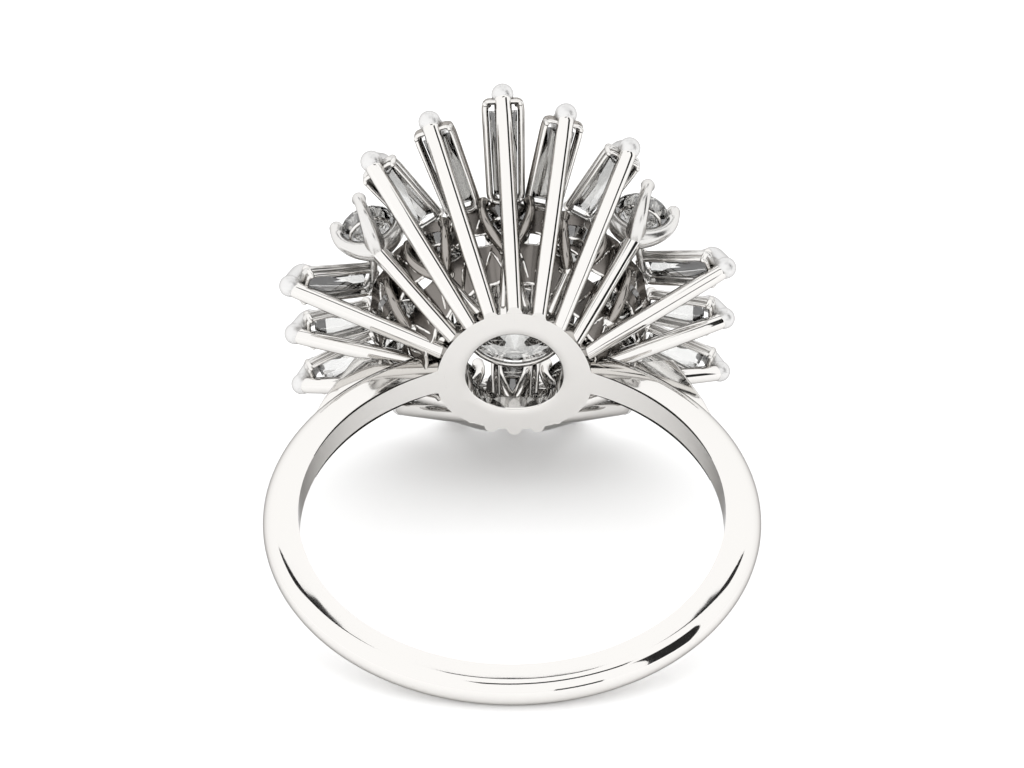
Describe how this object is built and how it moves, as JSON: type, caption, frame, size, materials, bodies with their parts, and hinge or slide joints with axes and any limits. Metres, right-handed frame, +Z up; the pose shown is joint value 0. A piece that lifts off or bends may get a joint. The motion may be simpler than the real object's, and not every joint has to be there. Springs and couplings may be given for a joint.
{
  "type": "cluster ring",
  "caption": "Cluster ring lying on its side: slim shank, windowed base plate and a crown of long bent wires that holds tapered baguettes, round stones and a larger centre stone.",
  "frame": {"origin": "middle of the ring's box on the surface that it lies on", "axes": "+Z up, +Y from the back of the shank towards the head along the surface, +X across the ring"},
  "size_m": [0.0198, 0.0276, 0.0181],
  "materials": {
    "white_gold": "polished white gold with rhodium plating",
    "diamond": "clear faceted diamond"
  },
  "bodies": {
    "root": {"mounting": "white_gold", "centre_stone": "diamond", "baguette_1": "diamond", "baguette_2": "diamond", "baguette_3": "diamond", "baguette_4": "diamond", "baguette_5": "diamond", "baguette_6": "diamond", "baguette_7": "diamond", "baguette_8": "diamond", "baguette_9": "diamond", "baguette_10": "diamond", "baguette_11": "diamond", "baguette_12": "diamond", "baguette_13": "diamond", "baguette_14": "diamond", "baguette_15": "diamond", "baguette_16": "diamond", "outer_round_1": "diamond", "outer_round_2": "diamond", "outer_round_3": "diamond", "outer_round_4": "diamond", "inner_round_1": "diamond", "inner_round_2": "diamond", "inner_round_3": "diamond", "inner_round_4": "diamond", "inner_round_5": "diamond", "inner_round_6": "diamond", "inner_round_7": "diamond", "inner_round_8": "diamond", "inner_round_9": "diamond", "inner_round_10": "diamond"}
  },
  "joints": []
}
